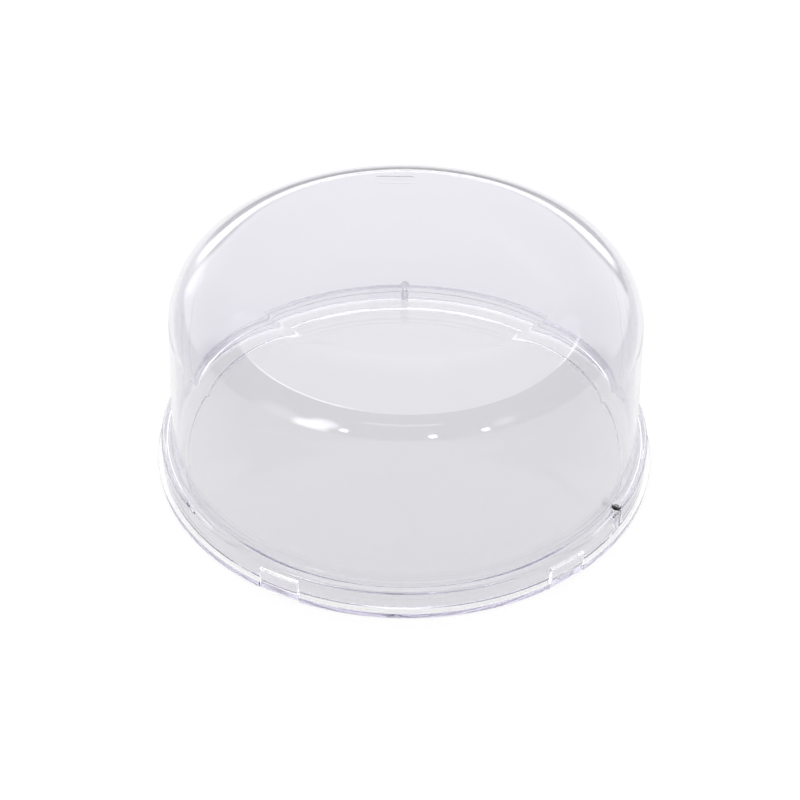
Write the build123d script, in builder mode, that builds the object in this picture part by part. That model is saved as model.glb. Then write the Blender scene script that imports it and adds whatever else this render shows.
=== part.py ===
from build123d import *
import os
from math import cos, sin, radians, tan

# Round humidity dome on its tray, in millimetres.
# +Z is up and the origin is at the bottom centre, under the middle of the tray.
# Azimuths are measured from +X towards +Y, and the front is at -90 degrees.

# Driving dimensions
LIP_RADIUS = 90.0           # the tray's outer edge, the widest part
HEIGHT = 78.4               # floor to the dome's flat top
WALL = 1.8                  # thickness of the dome
FLANGE_HEIGHT = 2.25        # thickness of the tray and its flange, which is the lip

# Dome: a wall with draft over a ledge and a short skirt
SKIRT_RADIUS = 88.3         # at the foot
SKIRT_DRAFT = 0.4           # how much narrower the skirt is at the ledge
LEDGE_HEIGHT = 10.1
LEDGE_CORNER = 1.4
WALL_BASE_RADIUS = 84.0
WALL_LEAN = 4.7             # degrees from upright
SHOULDER_RADIUS = 23.4
LEDGE_ROOT_RADIUS = 0.9     # blend between the ledge and the wall
SKIRT_EDGE = 0.35

# Bosses on the ledge, each with a socket for one of the tray's pins
PIN_AZIMUTHS = {"back": 90.5, "right": -34.0}
PIN_CIRCLE_RADIUS = 86.0
BOSS_RADIUS = 1.7
BOSS_RISE = 1.5             # above the ledge
BOSS_FOOT_GAP = 0.5         # above the flange
BOSS_EDGE = 0.5
PIN_RADIUS = 0.8
PIN_HEIGHT = 6.5            # above the flange
PIN_SEAT_DEPTH = 1.2        # into the flange
PIN_POINT = 0.3
PIN_CLEARANCE = 0.3         # around and above the pin

# Tray: a flat plate with a low bead round its floor
BEAD_OUTER_RADIUS = 80.5
BEAD_WIDTH = 1.4
BEAD_HEIGHT = 3.15          # from the bench
BEAD_EDGE = 0.6
LIP_EDGE = 0.4              # bevel on the lip

# Spring tabs in the flange, which press on the skirt from outside
TAB_AZIMUTHS = {"front_left": -116.0, "front_right": -53.5, "back": 96.0}
TAB_WIDTH = 14.0
TAB_HEIGHT = 8.55
TAB_THICKNESS = 1.4
TAB_GAP = 0.3               # to the skirt, the flange and the notch's sides
TAB_EDGE = 0.25
TAB_FOOT = 0.68             # rounding of the foot, just under half the thickness
TAB_BLOCK = 6.0             # radial length of the block that a tab is cut from

# Shallow maker's panel sunk in the dome's top, left blank
PANEL_LENGTH = 14.0
PANEL_WIDTH = 5.6
PANEL_DEPTH = 0.15
PANEL_CORNER = 1.0
PANEL_CENTRE = (-4.6, 50.3)


def wall_radius(height):
    """Outer radius of the drafted wall at a height, before the shoulder's rounding."""
    return WALL_BASE_RADIUS - tan(radians(WALL_LEAN)) * (height - LEDGE_HEIGHT)


def round_corner(profile, corner, radius):
    """Round the profile's corner that lies at a given radius and height."""
    fillet(profile.vertices().sort_by_distance(corner)[0], radius)


def on_circle(radius, azimuth):
    """Point on a circle about the dome's axis."""
    return (radius * cos(radians(azimuth)), radius * sin(radians(azimuth)))


def at_azimuth(azimuth):
    """Level plane whose X axis points outwards at an azimuth."""
    return Plane.XY.rotated((0, 0, azimuth))


os.makedirs("parts", exist_ok=True)

# Dome cover
ledge_corner = (SKIRT_RADIUS - SKIRT_DRAFT, LEDGE_HEIGHT)
ledge_root = (WALL_BASE_RADIUS, LEDGE_HEIGHT)
shoulder = (wall_radius(HEIGHT), HEIGHT)
wall_offset = WALL / cos(radians(WALL_LEAN))
inner_ledge_height = LEDGE_HEIGHT - WALL
inner_ledge_corner = (ledge_corner[0] - WALL, inner_ledge_height)
inner_ledge_root = (wall_radius(inner_ledge_height) - wall_offset, inner_ledge_height)
inner_shoulder = (wall_radius(HEIGHT - WALL) - wall_offset, HEIGHT - WALL)
boss_foot = FLANGE_HEIGHT + BOSS_FOOT_GAP
boss_top = LEDGE_HEIGHT + BOSS_RISE
pin_points = [on_circle(PIN_CIRCLE_RADIUS, azimuth) for azimuth in PIN_AZIMUTHS.values()]

with BuildPart() as dome_cover:
    with BuildSketch(Plane.XZ) as dome_profile:
        with BuildLine():
            Polyline(
                (0, HEIGHT),
                shoulder,
                ledge_root,
                ledge_corner,
                (SKIRT_RADIUS, FLANGE_HEIGHT),
                (SKIRT_RADIUS - WALL, FLANGE_HEIGHT),
                inner_ledge_corner,
                inner_ledge_root,
                inner_shoulder,
                (0, HEIGHT - WALL),
                close=True,
            )
        make_face()
        round_corner(dome_profile, shoulder, SHOULDER_RADIUS)
        round_corner(dome_profile, inner_shoulder, SHOULDER_RADIUS - WALL)
        round_corner(dome_profile, ledge_corner, LEDGE_CORNER)
        for corner in (ledge_root, inner_ledge_root, inner_ledge_corner):
            round_corner(dome_profile, corner, LEDGE_ROOT_RADIUS)
        fillet(dome_profile.vertices().group_by(Axis.Y)[0], SKIRT_EDGE)
    revolve(axis=Axis.Z)
    with BuildSketch(Plane.XY.offset(boss_foot)):
        with Locations(*pin_points):
            Circle(BOSS_RADIUS)
    extrude(amount=boss_top - boss_foot)
    fillet(dome_cover.edges().filter_by_position(Axis.Z, boss_top, boss_top), BOSS_EDGE)
    with BuildSketch(Plane.XY.offset(FLANGE_HEIGHT)):
        with Locations(*pin_points):
            Circle(PIN_RADIUS + PIN_CLEARANCE)
    extrude(amount=PIN_HEIGHT + PIN_CLEARANCE, mode=Mode.SUBTRACT)
    with BuildSketch(Plane.XY.offset(HEIGHT)):
        with Locations(PANEL_CENTRE):
            RectangleRounded(PANEL_LENGTH, PANEL_WIDTH, PANEL_CORNER)
    extrude(amount=-PANEL_DEPTH, mode=Mode.SUBTRACT)
dome_cover.part.label = "dome_cover"
export_step(dome_cover.part, "parts/dome_cover.step")

# Base tray, a turned profile with seats for the pins and notches for the tabs
notch_floor_radius = LIP_RADIUS - TAB_THICKNESS - TAB_GAP
bead_inner_radius = BEAD_OUTER_RADIUS - BEAD_WIDTH

with BuildPart() as base_tray:
    with BuildSketch(Plane.XZ) as tray_profile:
        with BuildLine():
            Polyline(
                (0, 0),
                (LIP_RADIUS, 0),
                (LIP_RADIUS, FLANGE_HEIGHT),
                (BEAD_OUTER_RADIUS, FLANGE_HEIGHT),
                (BEAD_OUTER_RADIUS, BEAD_HEIGHT),
                (bead_inner_radius, BEAD_HEIGHT),
                (bead_inner_radius, FLANGE_HEIGHT),
                (0, FLANGE_HEIGHT),
                close=True,
            )
        make_face()
        chamfer(tray_profile.vertices().group_by(Axis.X)[-1], LIP_EDGE)
        fillet(tray_profile.vertices().group_by(Axis.Y)[-1], BEAD_EDGE)
    revolve(axis=Axis.Z)
    # Seats for the pins
    with BuildSketch(Plane.XY.offset(FLANGE_HEIGHT)):
        with Locations(*pin_points):
            Circle(PIN_RADIUS)
    extrude(amount=-PIN_SEAT_DEPTH, mode=Mode.SUBTRACT)
    # Notches for the spring tabs
    for azimuth in TAB_AZIMUTHS.values():
        with BuildSketch(at_azimuth(azimuth)):
            Circle(LIP_RADIUS + TAB_THICKNESS)
            Circle(notch_floor_radius, mode=Mode.SUBTRACT)
            with Locations((LIP_RADIUS, 0)):
                Rectangle(TAB_BLOCK, TAB_WIDTH + 2 * TAB_GAP, mode=Mode.INTERSECT)
        extrude(amount=FLANGE_HEIGHT, mode=Mode.SUBTRACT)
base_tray.part.label = "base_tray"
export_step(base_tray.part, "parts/base_tray.step")

# Locating pins, pressed into the flange
for place, azimuth in PIN_AZIMUTHS.items():
    with BuildPart() as pin:
        with BuildSketch(Plane.XY.offset(FLANGE_HEIGHT - PIN_SEAT_DEPTH)):
            with Locations(on_circle(PIN_CIRCLE_RADIUS, azimuth)):
                Circle(PIN_RADIUS)
        extrude(amount=PIN_SEAT_DEPTH + PIN_HEIGHT)
        fillet(pin.edges().group_by(Axis.Z)[-1], PIN_POINT)
    pin.part.label = f"locating_pin_{place}"
    export_step(pin.part, f"parts/locating_pin_{place}.step")

# Spring tabs, upright in the flange's notches
for place, azimuth in TAB_AZIMUTHS.items():
    with BuildPart() as tab:
        with BuildSketch(at_azimuth(azimuth)):
            Circle(LIP_RADIUS)
            Circle(LIP_RADIUS - TAB_THICKNESS, mode=Mode.SUBTRACT)
            with Locations((LIP_RADIUS, 0)):
                Rectangle(TAB_BLOCK, TAB_WIDTH, mode=Mode.INTERSECT)
        extrude(amount=TAB_HEIGHT)
        long_edges = tab.edges().filter_by(GeomType.CIRCLE)
        fillet(long_edges.group_by(Axis.Z)[0], TAB_FOOT)
        fillet(tab.edges().group_by(Axis.Z)[-1], TAB_EDGE)
    tab.part.label = f"spring_tab_{place}"
    export_step(tab.part, f"parts/spring_tab_{place}.step")
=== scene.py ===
from math import atan2, cos, pi, radians, sin, sqrt, tan

import bmesh
import bpy
from mathutils import Matrix, Vector


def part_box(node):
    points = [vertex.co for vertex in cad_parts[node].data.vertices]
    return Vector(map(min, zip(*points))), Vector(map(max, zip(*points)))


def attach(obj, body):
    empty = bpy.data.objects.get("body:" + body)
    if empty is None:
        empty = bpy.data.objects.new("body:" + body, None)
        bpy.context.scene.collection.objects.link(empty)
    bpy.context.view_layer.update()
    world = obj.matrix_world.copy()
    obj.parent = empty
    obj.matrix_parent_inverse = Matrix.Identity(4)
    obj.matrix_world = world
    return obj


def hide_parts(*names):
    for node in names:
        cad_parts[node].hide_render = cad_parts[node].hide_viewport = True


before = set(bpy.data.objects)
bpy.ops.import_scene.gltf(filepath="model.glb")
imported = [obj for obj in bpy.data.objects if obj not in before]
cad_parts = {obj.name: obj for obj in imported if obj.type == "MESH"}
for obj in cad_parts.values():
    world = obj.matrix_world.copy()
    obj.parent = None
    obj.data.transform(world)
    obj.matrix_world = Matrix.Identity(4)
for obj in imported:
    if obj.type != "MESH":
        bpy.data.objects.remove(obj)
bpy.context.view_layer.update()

# Driving sizes in metres, about the dome's axis. Z is up and the floor is at 0.
LIP_RADIUS = 0.0900
HEIGHT = 0.0784
WALL = 0.0018
FLANGE_HEIGHT = 0.00225
SKIRT_RADIUS = 0.0883
SKIRT_DRAFT = 0.0004
LEDGE_HEIGHT = 0.0101
LEDGE_CORNER = 0.0014
LEDGE_ROOT = 0.0009
WALL_BASE_RADIUS = 0.0840
WALL_LEAN = radians(4.7)
SHOULDER_RADIUS = 0.0234
SKIRT_EDGE = 0.00035

BOSS_RADIUS = 0.0017
BOSS_RISE = 0.0015
BOSS_FOOT_GAP = 0.0005
BOSS_EDGE = 0.0005
PIN_CLEARANCE = 0.0003

BEAD_OUTER_RADIUS = 0.0805
BEAD_INNER_RADIUS = 0.0791
BEAD_HEIGHT = 0.00315
BEAD_EDGE = 0.0006
BEAD_ROOT = 0.0002
LIP_EDGE = 0.0003
LIP_INSET = 0.00003         # keeps the turned lip inside the CAD's faceted one
TAB_GAP = 0.0003
TAB_EDGE = 0.00025
TAB_FOOT = 0.00068
TAB_TRIM = 1e-6             # keeps a tab inside its frame box
NOTCH_REACH = 0.004         # how far the notch's cutter passes the lip
NOTCH_OVERCUT = 0.0002      # and passes the flange, below and above
NOTCH_STEPS = 12
TAB_STEPS = 40              # along a tab's width
TAB_END_STEPS = 5           # around its softened end edges
PIN_POINT = 0.0003
PIN_FIT = 0.00002           # air around a pin's foot in its seat

PANEL_LENGTH = 0.0140
PANEL_OFFSET = -0.0046      # from the middle towards the left
PANEL_WIDTH = 0.0056
PANEL_DEPTH = 0.00015
PANEL_CORNER = 0.0010
PANEL_RADIUS = 0.0503
PANEL_STEPS = 6             # around a corner

WALL_TINT = (0.820, 0.815, 0.850)
TRAY_TINT = (1.0, 1.0, 1.0)
TAB_TINT = (0.985, 0.98, 0.99)
DOME_DENSITY = 8            # what the plastic takes from light led along inside it, per metre
TRAY_DENSITY = 5
TAB_DENSITY = 5
RIPPLE_SCALE = 90           # noise cells per metre
RIPPLE_STRENGTH = 0.25
RIPPLE_HEIGHT = 0.00003
POLISH_FROM = 0.45          # share of the noise where the polish starts to dull
POLISH_TO = 0.75
POLISH_SPREAD = 0.02        # roughness where it is dullest
PLASTIC_IOR = 1.49
BODY_COLOUR = (0.06, 0.01, 0.22, 1)
WELD = 2e-6                 # points closer than this are one after a cut
SEGMENTS = 384              # around the axis
ARC_STEP = radians(6)       # along a small rounded corner
SHOULDER_STEP = radians(1.5)
LARGE_ROUNDING = 0.01       # roundings above this take the shoulder's step
SHARP_EDGE = radians(32)
ON_AXIS = 1e-7              # a radius this small is the axis
FLAT = 0.99999              # upright part of a level face's normal


# ---------------------------------------------------------------- shapes

def rounded(corners):
    """Closed outline in (radius, height) from (radius, height, rounding) corners."""
    points = []
    count = len(corners)
    for i, (r, z, rounding) in enumerate(corners):
        here = Vector((r, z))
        if not rounding:
            points.append(here)
            continue
        before = (Vector(corners[i - 1][:2]) - here).normalized()
        after = (Vector(corners[(i + 1) % count][:2]) - here).normalized()
        half = before.angle(after) / 2
        centre = here + (before + after).normalized() * rounding / sin(half)
        start = here + before * rounding / tan(half) - centre
        end = here + after * rounding / tan(half) - centre
        turn = start.angle_signed(end)
        steps = max(2, round(abs(turn) / (SHOULDER_STEP if rounding > LARGE_ROUNDING else ARC_STEP)))
        for k in range(steps + 1):
            angle = -turn * k / steps
            points.append(centre + Matrix.Rotation(angle, 2) @ start)
    return points


def lathe(name, outline, segments=SEGMENTS):
    """Closed solid turned about the Z axis. An outline point on the axis becomes one vertex."""
    mesh = bmesh.new()
    rings = []
    for r, z in outline:
        if r < ON_AXIS:
            rings.append([mesh.verts.new((0, 0, z))])
            continue
        rings.append([
            mesh.verts.new((r * cos(2 * pi * k / segments), r * sin(2 * pi * k / segments), z))
            for k in range(segments)
        ])
    for a, b in zip(rings, rings[1:] + rings[:1]):
        if len(a) == 1 and len(b) == 1:
            continue
        for k in range(segments):
            n = (k + 1) % segments
            corners = [a[k % len(a)], b[k % len(b)], b[n % len(b)], a[n % len(a)]]
            mesh.faces.new(list(dict.fromkeys(corners)))
    bmesh.ops.recalc_face_normals(mesh, faces=mesh.faces)
    return to_object(name, mesh)


def to_object(name, mesh):
    """Links a finished bmesh as an object."""
    data = bpy.data.meshes.new(name)
    mesh.to_mesh(data)
    mesh.free()
    piece = bpy.data.objects.new(name, data)
    bpy.context.scene.collection.objects.link(piece)
    return piece


def join(name, pieces):
    """One object from several that don't touch."""
    mesh = bmesh.new()
    for piece in pieces:
        mesh.from_mesh(piece.data)
        bpy.data.objects.remove(piece)
    return to_object(name, mesh)


def combine(piece, tool, operation):
    """Applies a boolean with a tool object, welds its seams and removes the tool."""
    modifier = piece.modifiers.new(operation.lower(), "BOOLEAN")
    modifier.operation = operation
    modifier.solver = "EXACT"
    modifier.object = tool
    bpy.context.view_layer.update()
    result = bpy.data.meshes.new_from_object(piece.evaluated_get(bpy.context.evaluated_depsgraph_get()))
    piece.modifiers.clear()
    mesh = bmesh.new()
    mesh.from_mesh(result)
    bmesh.ops.remove_doubles(mesh, verts=mesh.verts, dist=WELD)
    mesh.to_mesh(result)
    mesh.free()
    piece.data = result
    bpy.data.objects.remove(tool)


def smooth(piece):
    """Smooth shading, with flat tops, undersides and sharp edges kept."""
    piece.data.shade_smooth()
    piece.data.set_sharp_from_angle(angle=SHARP_EDGE)
    for face in piece.data.polygons:
        if abs(face.normal.z) > FLAT:
            face.use_smooth = False


def cylinder(name, centre, radius, low, high, top_rounding=0.0, segments=48):
    """Upright closed cylinder, with its top edge rounded if asked."""
    outline = rounded([(0, low, 0), (radius, low, 0), (radius, high, top_rounding), (0, high, 0)])
    piece = lathe(name, outline, segments)
    piece.data.transform(Matrix.Translation((centre[0], centre[1], 0)))
    return piece


# ---------------------------------------------------------------- pieces

def pin_centres():
    """Axis of each locating pin, from the frame."""
    centres = {}
    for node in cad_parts:
        if node.startswith("locating_pin"):
            low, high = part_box(node)
            centres[node] = (low + high) / 2
    return centres


def wall_radius(height):
    return WALL_BASE_RADIUS - tan(WALL_LEAN) * (height - LEDGE_HEIGHT)


def make_panel_tool():
    """Rounded plate that sinks the blank panel into the dome's top."""
    outline = []
    for sx, sy, start in ((1, 1, 0), (-1, 1, 90), (-1, -1, 180), (1, -1, 270)):
        for k in range(PANEL_STEPS + 1):
            angle = radians(start + 90 * k / PANEL_STEPS)
            outline.append((
                PANEL_OFFSET + sx * (PANEL_LENGTH / 2 - PANEL_CORNER) + PANEL_CORNER * cos(angle),
                PANEL_RADIUS + sy * (PANEL_WIDTH / 2 - PANEL_CORNER) + PANEL_CORNER * sin(angle),
            ))
    mesh = bmesh.new()
    bottom = [mesh.verts.new((x, y, HEIGHT - PANEL_DEPTH)) for x, y in outline]
    top = [mesh.verts.new((x, y, HEIGHT + WALL)) for x, y in outline]
    mesh.faces.new(bottom)
    mesh.faces.new(top)
    for k in range(len(top)):
        n = (k + 1) % len(top)
        mesh.faces.new([bottom[k], bottom[n], top[n], top[k]])
    bmesh.ops.recalc_face_normals(mesh, faces=mesh.faces)
    return to_object("panel_tool", mesh)


def make_dome():
    top = HEIGHT
    inner_top = HEIGHT - WALL
    inner_ledge = LEDGE_HEIGHT - WALL
    offset = WALL / cos(WALL_LEAN)
    outline = rounded([
        (0, top, 0),
        (wall_radius(top), top, SHOULDER_RADIUS),
        (WALL_BASE_RADIUS, LEDGE_HEIGHT, LEDGE_ROOT),
        (SKIRT_RADIUS - SKIRT_DRAFT, LEDGE_HEIGHT, LEDGE_CORNER),
        (SKIRT_RADIUS, FLANGE_HEIGHT, SKIRT_EDGE),
        (SKIRT_RADIUS - WALL, FLANGE_HEIGHT, SKIRT_EDGE),
        (SKIRT_RADIUS - SKIRT_DRAFT - WALL, inner_ledge, LEDGE_ROOT),
        (wall_radius(inner_ledge) - offset, inner_ledge, LEDGE_ROOT),
        (wall_radius(inner_top) - offset, inner_top, SHOULDER_RADIUS - WALL),
        (0, inner_top, 0),
    ])
    dome = lathe("dome_shell", outline)
    bosses = []
    sockets = []
    for node, centre in pin_centres().items():
        pin_low, pin_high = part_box(node)
        bosses.append(cylinder("boss", centre, BOSS_RADIUS, FLANGE_HEIGHT + BOSS_FOOT_GAP,
                               LEDGE_HEIGHT + BOSS_RISE, BOSS_EDGE))
        socket_radius = (pin_high.x - pin_low.x) / 2 + PIN_CLEARANCE
        sockets.append(cylinder("socket", centre, socket_radius, 0, pin_high.z + PIN_CLEARANCE))
    combine(dome, join("bosses", bosses), "UNION")
    combine(dome, join("sockets", sockets), "DIFFERENCE")
    panel = make_panel_tool()
    combine(dome, panel, "DIFFERENCE")
    smooth(dome)
    return dome


def notch_tool(name, node, gap):
    """Block that cuts a spring tab's notch through the tray's flange."""
    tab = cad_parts[node]
    low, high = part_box(node)
    centre = (low + high) / 2
    azimuth = atan2(centre.y, centre.x)
    turn = Matrix.Rotation(-azimuth, 4, "Z")
    local = [turn @ v.co for v in tab.data.vertices]
    inner = min(sqrt(p.x ** 2 + p.y ** 2) for p in local) - gap
    half_width = max(p.y for p in local) + gap
    mesh = bmesh.new()
    outer = LIP_RADIUS + NOTCH_REACH
    rings = []
    for z in (-NOTCH_OVERCUT, FLANGE_HEIGHT + NOTCH_OVERCUT):
        inside = []
        for k in range(NOTCH_STEPS + 1):
            y = half_width * (2 * k / NOTCH_STEPS - 1)
            inside.append(mesh.verts.new((sqrt(inner ** 2 - y ** 2), y, z)))
        far = [mesh.verts.new((outer, half_width, z)), mesh.verts.new((outer, -half_width, z))]
        rings.append(inside + far)
    bottom, top = rings
    mesh.faces.new(bottom)
    mesh.faces.new(top)
    for k in range(len(top)):
        n = (k + 1) % len(top)
        mesh.faces.new([bottom[k], bottom[n], top[n], top[k]])
    bmesh.ops.recalc_face_normals(mesh, faces=mesh.faces)
    bmesh.ops.rotate(mesh, verts=mesh.verts, cent=(0, 0, 0), matrix=Matrix.Rotation(azimuth, 3, "Z"))
    return to_object(name, mesh)


def make_tray():
    outline = rounded([
        (0, 0, 0),
        (LIP_RADIUS - LIP_INSET, 0, LIP_EDGE),
        (LIP_RADIUS - LIP_INSET, FLANGE_HEIGHT, LIP_EDGE),
        (BEAD_OUTER_RADIUS, FLANGE_HEIGHT, BEAD_ROOT),
        (BEAD_OUTER_RADIUS, BEAD_HEIGHT, BEAD_EDGE),
        (BEAD_INNER_RADIUS, BEAD_HEIGHT, BEAD_EDGE),
        (BEAD_INNER_RADIUS, FLANGE_HEIGHT, BEAD_ROOT),
        (0, FLANGE_HEIGHT, 0),
    ])
    tray = lathe("tray_shell", outline)
    for node, centre in pin_centres().items():
        pin_low, pin_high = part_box(node)
        seat = cylinder("seat", centre, (pin_high.x - pin_low.x) / 2, pin_low.z, 2 * FLANGE_HEIGHT)
        combine(tray, seat, "DIFFERENCE")
    for node in sorted(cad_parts):
        if node.startswith("spring_tab"):
            combine(tray, notch_tool("notch", node, TAB_GAP), "DIFFERENCE")
    smooth(tray)
    return tray


def inset_profile(inner, outer, low, high, foot, edge, inset):
    """Outline of a tab's cross-section in (radius, height), drawn in by an inset on every side."""
    return rounded([
        (inner + inset, low + inset, foot - inset),
        (outer - inset, low + inset, foot - inset),
        (outer - inset, high - inset, edge),
        (inner + inset, high - inset, edge),
    ])


def make_tab(node):
    """Upright curved tab with a full-round foot and softened edges, placed from its frame box."""
    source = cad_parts[node]
    low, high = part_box(node)
    centre = (low + high) / 2
    azimuth = atan2(centre.y, centre.x)
    turn = Matrix.Rotation(-azimuth, 4, "Z")
    local = [turn @ v.co for v in source.data.vertices]
    inner = min(sqrt(p.x ** 2 + p.y ** 2) for p in local)
    outer = max(sqrt(p.x ** 2 + p.y ** 2) for p in local)
    half_width = max(p.y for p in local) - TAB_TRIM
    path = [(half_width - TAB_EDGE * (1 - cos(a)), TAB_EDGE * (1 - sin(a))) for a in
            (pi / 2 * k / TAB_END_STEPS for k in range(TAB_END_STEPS + 1))]
    path += [(half_width * (1 - 2 * k / TAB_STEPS), 0.0) for k in range(2, TAB_STEPS - 1)]
    path += [(-y, inset) for y, inset in reversed(path[:TAB_END_STEPS + 1])]
    mesh = bmesh.new()
    rings = []
    for y, inset in path:
        ring = []
        for r, z in inset_profile(inner, outer, low.z, high.z, TAB_FOOT, TAB_EDGE, inset):
            ring.append(mesh.verts.new((sqrt(r ** 2 - y ** 2), y, z)))
        rings.append(ring)
    for a, b in zip(rings, rings[1:]):
        for k in range(len(a)):
            n = (k + 1) % len(a)
            mesh.faces.new([a[k], b[k], b[n], a[n]])
    mesh.faces.new(rings[0])
    mesh.faces.new(rings[-1])
    bmesh.ops.recalc_face_normals(mesh, faces=mesh.faces)
    bmesh.ops.rotate(mesh, verts=mesh.verts, cent=(0, 0, 0), matrix=Matrix.Rotation(azimuth, 3, "Z"))
    tab = to_object(node.replace("spring_tab", "tab_spring"), mesh)
    smooth(tab)
    return tab


def make_pin(node):
    """Locating pin with a rounded point."""
    low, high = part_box(node)
    centre = (low + high) / 2
    radius = (high.x - low.x) / 2 - PIN_FIT
    pin = cylinder(node.replace("locating_pin", "pin_locating"), centre, radius,
                   low.z + PIN_FIT, high.z, PIN_POINT)
    smooth(pin)
    return pin


# ---------------------------------------------------------------- materials

def clear_plastic(name, tint, density):
    """Clear moulded plastic, from its tint and what it takes from light per metre."""
    material = bpy.data.materials.new(name)
    material.use_nodes = True
    nodes = material.node_tree.nodes
    links = material.node_tree.links
    shader = nodes["Principled BSDF"]
    shader.inputs["Base Color"].default_value = (*tint, 1)
    shader.inputs["IOR"].default_value = PLASTIC_IOR
    shader.inputs["Transmission Weight"].default_value = 1.0
    # Faint moulding ripple and uneven polish, both in the object's own space
    place = nodes.new("ShaderNodeTexCoord")
    ripple = nodes.new("ShaderNodeTexNoise")
    ripple.inputs["Scale"].default_value = RIPPLE_SCALE
    ripple.inputs["Detail"].default_value = 2.0
    bump = nodes.new("ShaderNodeBump")
    bump.inputs["Strength"].default_value = RIPPLE_STRENGTH
    bump.inputs["Distance"].default_value = RIPPLE_HEIGHT
    links.new(place.outputs["Object"], ripple.inputs["Vector"])
    links.new(ripple.outputs["Fac"], bump.inputs["Height"])
    links.new(bump.outputs["Normal"], shader.inputs["Normal"])
    polish = nodes.new("ShaderNodeMapRange")
    polish.inputs["From Min"].default_value = POLISH_FROM
    polish.inputs["From Max"].default_value = POLISH_TO
    polish.inputs["To Min"].default_value = 0.0
    polish.inputs["To Max"].default_value = POLISH_SPREAD
    links.new(ripple.outputs["Fac"], polish.inputs["Value"])
    links.new(polish.outputs["Result"], shader.inputs["Roughness"])
    body = nodes.new("ShaderNodeVolumeAbsorption")
    body.inputs["Color"].default_value = BODY_COLOUR
    body.inputs["Density"].default_value = density
    links.new(body.outputs[0], nodes["Material Output"].inputs["Volume"])
    return material


def set_material(piece, material):
    piece.data.materials.clear()
    piece.data.materials.append(material)


# ---------------------------------------------------------------- build

dome = make_dome()
tray = make_tray()
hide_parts("dome_cover")
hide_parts("base_tray")
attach(dome, "dome")
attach(tray, "tray")
clear = clear_plastic("clear_dome_plastic", WALL_TINT, density=DOME_DENSITY)
set_material(dome, clear)
set_material(tray, clear_plastic("clear_tray_plastic", TRAY_TINT, density=TRAY_DENSITY))
thin_clear = clear_plastic("clear_tab_plastic", TAB_TINT, density=TAB_DENSITY)
for node in sorted(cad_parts):
    if node.startswith("spring_tab"):
        tab = make_tab(node)
        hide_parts(node)
        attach(tab, node.replace("spring_", ""))
        set_material(tab, thin_clear)
    elif node.startswith("locating_pin"):
        pin = make_pin(node)
        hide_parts(node)
        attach(pin, "tray")
        set_material(pin, thin_clear)

# ---------------------------------------------------------------- floor, light and camera

FLOOR_RADIUS = 4.0
FLOOR_DROP = 0.0003         # air under the tray
FLOOR_ALBEDO = 0.13
FLOOR_GLOW = 0.84
FLOOR_PAINTED_SHADOW = 0.865         # painted shadow: how much of the floor's glow is left under the tray
PAINTED_SHADOW_WIDTH = 0.0060        # how far inside the lip that painted shadow starts
mesh = bmesh.new()
bmesh.ops.create_circle(mesh, cap_ends=True, radius=FLOOR_RADIUS, segments=64)
floor = to_object("studio_floor", mesh)
floor.location.z = -FLOOR_DROP
paper = bpy.data.materials.new("pale_paper")
paper.use_nodes = True
sheet = paper.node_tree.nodes["Principled BSDF"]
sheet.inputs["Base Color"].default_value = (FLOOR_ALBEDO, FLOOR_ALBEDO, FLOOR_ALBEDO, 1)
sheet.inputs["Roughness"].default_value = 0.9
sheet.inputs["Specular IOR Level"].default_value = 0.0
sheet.inputs["Emission Color"].default_value = (1, 1, 1, 1)
place = paper.node_tree.nodes.new("ShaderNodeTexCoord")
reach = paper.node_tree.nodes.new("ShaderNodeVectorMath")
reach.operation = "LENGTH"
# Painted shadow: the floor's glow is turned down under the tray, rising smoothly to full at the lip
painted_shadow = paper.node_tree.nodes.new("ShaderNodeMapRange")
painted_shadow.interpolation_type = "SMOOTHSTEP"
painted_shadow.inputs["From Min"].default_value = LIP_RADIUS - PAINTED_SHADOW_WIDTH
painted_shadow.inputs["From Max"].default_value = LIP_RADIUS
painted_shadow.inputs["To Min"].default_value = FLOOR_GLOW * FLOOR_PAINTED_SHADOW
painted_shadow.inputs["To Max"].default_value = FLOOR_GLOW
paper.node_tree.links.new(place.outputs["Object"], reach.inputs[0])
paper.node_tree.links.new(reach.outputs["Value"], painted_shadow.inputs["Value"])
paper.node_tree.links.new(painted_shadow.outputs["Result"], sheet.inputs["Emission Strength"])
floor.data.materials.append(paper)

# A bright sweep behind and overhead, and a dim room in front below the overhead's edge.
# Angles are in degrees, and 90 is behind the dome.
OVERHEAD_EDGE = sin(radians(40))
OVERHEAD_BLUR = 0.01
OVERHEAD = 2.1
BEHIND = 1.75
BEHIND_EDGE = (0.15, 0.35)  # share of north where the panel behind fades in
DIM = 0.5
ARCH_CENTRE = (90, -20.8)   # azimuth and elevation
ARCH_EDGE = (46, 48)        # from the arch's centre, where the panel starts and is full
STRIP_OUTER = (44.6, 43.6)
STRIP_INNER = (39, 37.5)
STRIP_LIGHT = (90, 20, 25.0, 39.0, 3.5)
RING_BLUR = 0.6
world = bpy.data.worlds.new("studio")
bpy.context.scene.world = world
world.use_nodes = True
nodes = world.node_tree.nodes
links = world.node_tree.links
background = nodes["Background"]


def math(operation, a, b):
    """Result of a maths node on two values, each a number or another node's output."""
    node = nodes.new("ShaderNodeMath")
    node.operation = operation
    for socket, value in zip(node.inputs, (a, b)):
        if isinstance(value, (int, float)):
            socket.default_value = value
        else:
            links.new(value, socket)
    return node.outputs[0]


def ramp(value, start, end):
    """0 below start and 1 above end, smoothed."""
    node = nodes.new("ShaderNodeMapRange")
    node.interpolation_type = "SMOOTHSTEP"
    links.new(value, node.inputs["Value"])
    node.inputs["From Min"].default_value = start
    node.inputs["From Max"].default_value = end
    return node.outputs["Result"]


coords = nodes.new("ShaderNodeTexCoord")
split = nodes.new("ShaderNodeSeparateXYZ")
links.new(coords.outputs["Generated"], split.inputs[0])
_, north, height = split.outputs
overhead = ramp(height, OVERHEAD_EDGE - OVERHEAD_BLUR, OVERHEAD_EDGE + OVERHEAD_BLUR)


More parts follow.
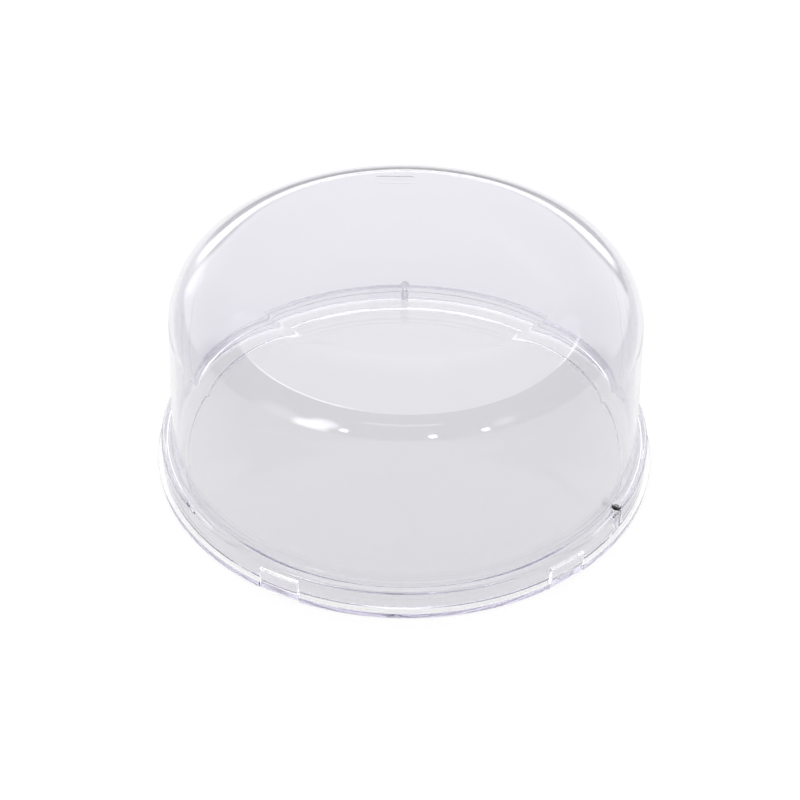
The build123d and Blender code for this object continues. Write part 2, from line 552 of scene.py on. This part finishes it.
def towards(azimuth, elevation):
    """Unit direction at an azimuth and elevation in degrees."""
    a, e = radians(azimuth), radians(elevation)
    return (cos(a) * cos(e), sin(a) * cos(e), sin(e))


def nearness(azimuth, elevation):
    """Cosine of the angle from a direction."""
    node = nodes.new("ShaderNodeVectorMath")
    node.operation = "DOT_PRODUCT"
    links.new(coords.outputs["Generated"], node.inputs[0])
    node.inputs[1].default_value = towards(azimuth, elevation)
    return node.outputs["Value"]


def soft_light(azimuth, elevation, core, reach, strength):
    """Round patch of extra light, full inside the core angle and gone at the reach angle."""
    patch = ramp(nearness(azimuth, elevation), cos(radians(reach)), cos(radians(core)))
    return math("MULTIPLY", patch, strength)


def ring(low, high):
    """Band between two elevations."""
    rise = ramp(height, sin(radians(low - RING_BLUR)), sin(radians(low + RING_BLUR)))
    fall = ramp(height, sin(radians(high - RING_BLUR)), sin(radians(high + RING_BLUR)))
    return math("SUBTRACT", rise, fall)


def arc_ramp(edges):
    """0 at the first angle from the arch's centre and 1 at the second."""
    start, end = edges
    return ramp(arch, cos(radians(start)), cos(radians(end)))


# The panel behind stands on an arch, and a bright strip runs along its lower edge.
arch = nearness(*ARCH_CENTRE)
above_arch = arc_ramp(ARCH_EDGE)
strip = math("SUBTRACT", arc_ramp(STRIP_OUTER), arc_ramp(STRIP_INNER))
behind = math("MULTIPLY", ramp(north, *BEHIND_EDGE), above_arch)
lit = math("MAXIMUM", math("MULTIPLY", overhead, OVERHEAD - DIM), math("MULTIPLY", behind, BEHIND - DIM))
lit = math("ADD", lit, math("MULTIPLY", strip, soft_light(*STRIP_LIGHT)))

# azimuth, elevation, core angle, reach angle, strength
for patch in (
    (-116, 7.0, 1.2, 2.4, 14),
    (-78, 6.0, 1.2, 2.4, 14),
    (-55, 5.6, 1.2, 2.4, 14),
    (-125, 11.0, 2.0, 8.0, 4.0),
    (-131, 3.0, 3.0, 10.0, 5.0),
    (-145, 2.0, 4.0, 16.0, 1.0),
    (-46, 10.5, 1.0, 7.0, 1.2),
    (126, 7, 4.0, 14.0, 0.8),
):
    lit = math("ADD", lit, soft_light(*patch))

# Bright edges of the panels: behind, around the overhead, and one low strip in front.
for band, patch in (
    (ring(39.6, 41.2), (-150, 40, 10.0, 32.0, 3.0)),
    (ring(39.6, 41.2), (-90, 40, 30.0, 70.0, 0.5)),
    (ring(39.6, 41.2), (18, 40, 3.0, 14.0, 3.0)),
    (ring(22.6, 24.4), (-91, 23, 13.0, 20.0, 1.9)),
):
    lit = math("ADD", lit, math("MULTIPLY", band, soft_light(*patch)))
background.inputs["Color"].default_value = (1, 1, 1, 1)
links.new(math("ADD", lit, DIM), background.inputs["Strength"])

LIGHT_BOUNCES = 160         # enough for light led along inside the tray
ELEVATION = radians(39.6)
DISTANCE = 4.956 * LIP_RADIUS
ROLL = radians(0.834)
LENS = 54.1
SHIFT_X = -0.0056
SHIFT_Y = 0.0445
camera = bpy.data.objects.new("camera", bpy.data.cameras.new("camera"))
bpy.context.scene.collection.objects.link(camera)
bpy.context.scene.camera = camera
camera.data.sensor_width = 36
camera.data.lens = LENS
camera.data.shift_x = SHIFT_X
camera.data.shift_y = SHIFT_Y
camera.data.clip_start = 0.01
look = Vector((0, cos(ELEVATION), -sin(ELEVATION)))
turn = Matrix((Vector((1, 0, 0)), Vector((0, sin(ELEVATION), cos(ELEVATION))), -look)).transposed()
camera.matrix_world = Matrix.Translation(-look * DISTANCE) @ turn.to_4x4() @ Matrix.Rotation(ROLL, 4, "Z")

scene = bpy.context.scene
scene.view_settings.view_transform = "Standard"
scene.cycles.max_bounces = LIGHT_BOUNCES
scene.cycles.transmission_bounces = LIGHT_BOUNCES
scene.cycles.glossy_bounces = LIGHT_BOUNCES
scene.cycles.transparent_max_bounces = 32
